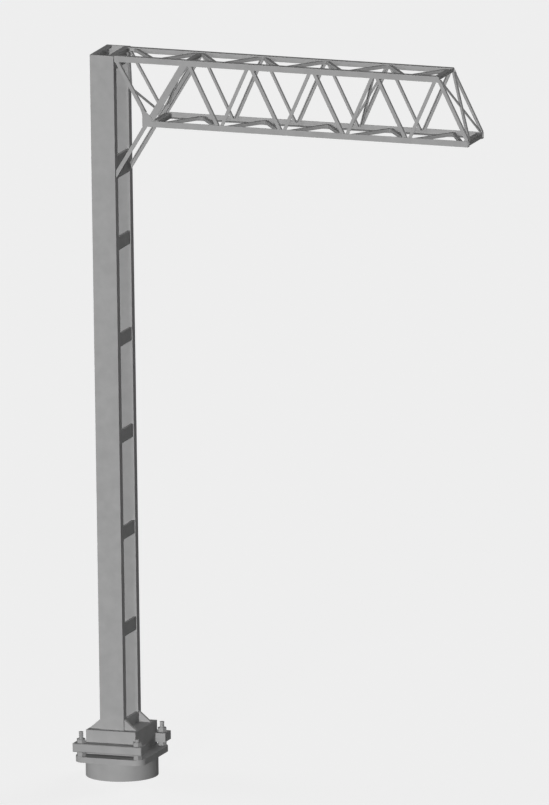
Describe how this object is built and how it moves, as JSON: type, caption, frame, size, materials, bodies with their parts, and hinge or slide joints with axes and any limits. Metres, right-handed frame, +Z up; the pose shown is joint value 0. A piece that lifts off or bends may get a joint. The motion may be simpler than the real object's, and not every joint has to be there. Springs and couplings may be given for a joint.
{
  "type": "model signal mast",
  "caption": "Plug-in model railway signal mast: battened channel post with a cantilever lattice truss arm on a clamped foot.",
  "frame": {"origin": "centre of the mounting plug at the underside of the base plate", "axes": "+Z up the mast, +X along the cantilever arm, -Y towards the front face"},
  "size_m": [0.0583, 0.012, 0.1016],
  "materials": {
    "steelwork_plastic": "fine matte grey",
    "foot_plastic": "fine matte grey",
    "fastener_metal": "matte grey paint"
  },
  "bodies": {
    "root": {"anchor_studs": "fastener_metal", "base_plate": "foot_plastic", "battens_level_1": "steelwork_plastic", "battens_level_2": "steelwork_plastic", "battens_level_3": "steelwork_plastic", "battens_level_4": "steelwork_plastic", "battens_level_5": "steelwork_plastic", "bottom_chord_back": "steelwork_plastic", "bottom_chord_front": "steelwork_plastic", "bottom_crossbars": "steelwork_plastic", "bottom_lacing": "steelwork_plastic", "clamp_bar_back": "foot_plastic", "clamp_bar_front": "foot_plastic", "clamp_nuts": "fastener_metal", "diagonal_back_1": "steelwork_plastic", "diagonal_back_2": "steelwork_plastic", "diagonal_back_3": "steelwork_plastic", "diagonal_back_4": "steelwork_plastic", "diagonal_back_5": "steelwork_plastic", "diagonal_back_6": "steelwork_plastic", "diagonal_back_7": "steelwork_plastic", "diagonal_back_8": "steelwork_plastic", "diagonal_front_1": "steelwork_plastic", "diagonal_front_2": "steelwork_plastic", "diagonal_front_3": "steelwork_plastic", "diagonal_front_4": "steelwork_plastic", "diagonal_front_5": "steelwork_plastic", "diagonal_front_6": "steelwork_plastic", "diagonal_front_7": "steelwork_plastic", "diagonal_front_8": "steelwork_plastic", "end_post_back": "steelwork_plastic", "end_post_front": "steelwork_plastic", "foot_battens": "steelwork_plastic", "foot_box": "foot_plastic", "foot_gussets_back": "steelwork_plastic", "foot_gussets_front": "steelwork_plastic", "hanger_back": "steelwork_plastic", "hanger_front": "steelwork_plastic", "hanger_lacing": "steelwork_plastic", "head_angle_left": "steelwork_plastic", "head_angle_right": "steelwork_plastic", "knee_battens": "steelwork_plastic", "knee_cross_brace": "steelwork_plastic", "knee_diagonal_back": "steelwork_plastic", "knee_diagonal_front": "steelwork_plastic", "knee_gusset_back": "steelwork_plastic", "knee_gusset_front": "steelwork_plastic", "knee_strut_back": "steelwork_plastic", "knee_strut_front": "steelwork_plastic", "levelling_nuts": "fastener_metal", "mast_channel_back": "steelwork_plastic", "mast_channel_front": "steelwork_plastic", "middle_cross_brace": "steelwork_plastic", "mounting_plug": "foot_plastic", "tip_cross_brace": "steelwork_plastic", "top_chord_back": "steelwork_plastic", "top_chord_front": "steelwork_plastic", "top_crossbars": "steelwork_plastic", "top_lacing": "steelwork_plastic"}
  },
  "joints": []
}
